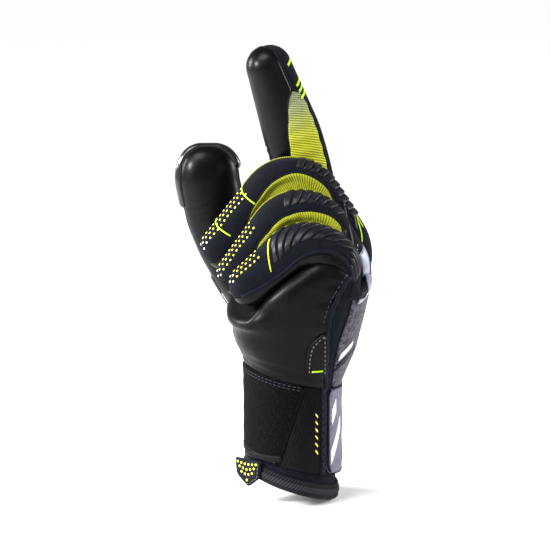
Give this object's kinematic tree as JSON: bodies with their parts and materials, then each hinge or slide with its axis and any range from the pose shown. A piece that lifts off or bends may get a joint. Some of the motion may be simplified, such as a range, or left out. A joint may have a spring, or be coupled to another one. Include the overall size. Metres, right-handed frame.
{
  "type": "goalkeeper glove",
  "caption": "Left-hand goalkeeper glove in its worn pose, with latex palm, knit gussets, padded back, wrist bandage, closure flap and pull tab.",
  "frame": {"origin": "centre of the wrist opening", "axes": "+Z from the wrist to the fingertips, +X towards the back of the hand, +Y towards the thumb side"},
  "size_m": [0.1233, 0.1263, 0.2758],
  "materials": {
    "black_latex": "satin grained latex",
    "navy_back": "smooth padded knit",
    "lime_knit": "fine ribbed stretch knit",
    "flex_fabric": "stretch knit",
    "lining_cloth": "brushed towelling",
    "embossed_rubber": "moulded ribs with a silver print",
    "silver_print": "printed foil",
    "navy_binding": "folded tape",
    "navy_knit": "double knit",
    "grey_hem": "layered tape",
    "heather_elastic": "woven elastic",
    "rib_elastic": "ribbed elastic",
    "lilac_velour": "short-pile loop velour",
    "hook_strip": "moulded hooks",
    "white_print": "welded film",
    "tab_webbing": "dense webbing",
    "yellow_dots": "raised grip dots",
    "rim_latex": "glossy bound latex edge"
  },
  "bodies": {
    "hand": {"palm_latex": "black_latex", "back_panel": "navy_back", "hand_lining": "lining_cloth", "palm_fold": "black_latex", "punch_pad": "embossed_rubber", "back_flash": "silver_print", "side_seam_binding": "navy_binding", "cuff_sleeve": "navy_knit", "cuff_hem": "grey_hem", "wrist_bandage": "heather_elastic", "ribbed_elastic": "rib_elastic", "bandage_binding": "navy_binding", "flap_anchor": "navy_binding", "loop_patch": "lilac_velour", "tab_anchor": "tab_webbing", "index_knuckle_flex": "flex_fabric", "middle_knuckle_flex": "flex_fabric", "ring_knuckle_flex": "flex_fabric", "little_knuckle_flex": "flex_fabric", "thumb_root_flex": "flex_fabric"},
    "closure": {"closure_flap": "lilac_velour", "hook_patch": "hook_strip", "flap_badge": "white_print"},
    "tab": {"pull_tab": "tab_webbing", "tab_dots": "yellow_dots"},
    "thumb_base": {"thumb_base_latex": "black_latex", "thumb_base_back": "navy_back", "thumb_bend_flex": "flex_fabric"},
    "thumb_tip": {"thumb_tip_latex": "black_latex", "thumb_tip_back": "navy_back", "thumb_tip_binding": "rim_latex"},
    "index_base": {"index_base_latex": "black_latex", "index_base_gussets": "lime_knit", "index_base_back": "navy_back", "index_bend_flex": "flex_fabric"},
    "index_tip": {"index_tip_latex": "black_latex", "index_tip_gussets": "lime_knit", "index_tip_back": "navy_back"},
    "middle_base": {"middle_base_latex": "black_latex", "middle_base_gussets": "lime_knit", "middle_base_back": "navy_back", "middle_bend_flex": "flex_fabric"},
    "middle_tip": {"middle_tip_latex": "black_latex", "middle_tip_gussets": "lime_knit", "middle_tip_back": "navy_back"},
    "ring_base": {"ring_base_latex": "black_latex", "ring_base_gussets": "lime_knit", "ring_base_back": "navy_back", "ring_bend_flex": "flex_fabric"},
    "ring_tip": {"ring_tip_latex": "black_latex", "ring_tip_gussets": "lime_knit", "ring_tip_back": "navy_back"},
    "little_base": {"little_base_latex": "black_latex", "little_base_gussets": "lime_knit", "little_base_back": "navy_back", "little_bend_flex": "flex_fabric"},
    "little_tip": {"little_tip_latex": "black_latex", "little_tip_gussets": "lime_knit", "little_tip_back": "navy_back"}
  },
  "joints": [
    {"name": "index_knuckle", "type": "hinge", "parent": "hand", "child": "index_base", "pos_m": [0.01777, 0.037, 0.15376], "axis": [0, -1, 0], "range_deg": [-10, 28], "stiffness_Nm_per_rad": 0.5, "deforming": ["index_knuckle_flex"]},
    {"name": "index_bend", "type": "hinge", "parent": "index_base", "child": "index_tip", "pos_m": [0.008, 0.037, 0.19879], "axis": [0, -1, 0], "range_deg": [-5, 70], "stiffness_Nm_per_rad": 0.5, "deforming": ["index_bend_flex"]},
    {"name": "middle_knuckle", "type": "hinge", "parent": "hand", "child": "middle_base", "pos_m": [0.03783, 0.0123, 0.14434], "axis": [0, -1, 0], "range_deg": [-38, 10], "stiffness_Nm_per_rad": 0.5, "deforming": ["middle_knuckle_flex"]},
    {"name": "middle_bend", "type": "hinge", "parent": "middle_base", "child": "middle_tip", "pos_m": [0.00438, 0.0123, 0.18713], "axis": [0, -1, 0], "range_deg": [-90, 6], "stiffness_Nm_per_rad": 0.5, "deforming": ["middle_bend_flex"]},
    {"name": "ring_knuckle", "type": "hinge", "parent": "hand", "child": "ring_base", "pos_m": [0.03801, -0.0123, 0.13274], "axis": [0, -1, 0], "range_deg": [-38, 0.5], "stiffness_Nm_per_rad": 0.5, "deforming": ["ring_knuckle_flex"]},
    {"name": "ring_bend", "type": "hinge", "parent": "ring_base", "child": "ring_tip", "pos_m": [0.00996, -0.0123, 0.17068], "axis": [0, -1, 0], "range_deg": [-96, 0.5], "stiffness_Nm_per_rad": 0.5, "deforming": ["ring_bend_flex"]},
    {"name": "little_knuckle", "type": "hinge", "parent": "hand", "child": "little_base", "pos_m": [0.03558, -0.0369, 0.12076], "axis": [0, -1, 0], "range_deg": [-18, 2], "stiffness_Nm_per_rad": 0.5, "deforming": ["little_knuckle_flex"]},
    {"name": "little_bend", "type": "hinge", "parent": "little_base", "child": "little_tip", "pos_m": [0.0208, -0.0369, 0.15447], "axis": [0, -1, 0], "range_deg": [-98, 3], "stiffness_Nm_per_rad": 0.5, "deforming": ["little_bend_flex"]},
    {"name": "thumb_root", "type": "hinge", "parent": "hand", "child": "thumb_base", "pos_m": [-0.014, 0.049, 0.105], "axis": [-0.8479, -0.3749, -0.3749], "range_deg": [-6, 15], "stiffness_Nm_per_rad": 0.5, "deforming": ["thumb_root_flex"]},
    {"name": "thumb_bend", "type": "hinge", "parent": "thumb_base", "child": "thumb_tip", "pos_m": [-0.0395, 0.0632, 0.146], "axis": [-0.9404, 0, -0.3401], "range_deg": [-25, 10], "stiffness_Nm_per_rad": 0.5, "deforming": ["thumb_bend_flex"]},
    {"name": "closure_flap_hinge", "type": "hinge", "parent": "hand", "child": "closure", "pos_m": [0.0253, 0.0275, 0.031], "axis": [0, 0, 1], "range_deg": [0, 150]},
    {"name": "pull_tab_hinge", "type": "hinge", "parent": "hand", "child": "tab", "pos_m": [-0.0242, -0.0242, 0.016], "axis": [-0.7071, 0.7071, 0], "range_deg": [0, 60]}
  ]
}
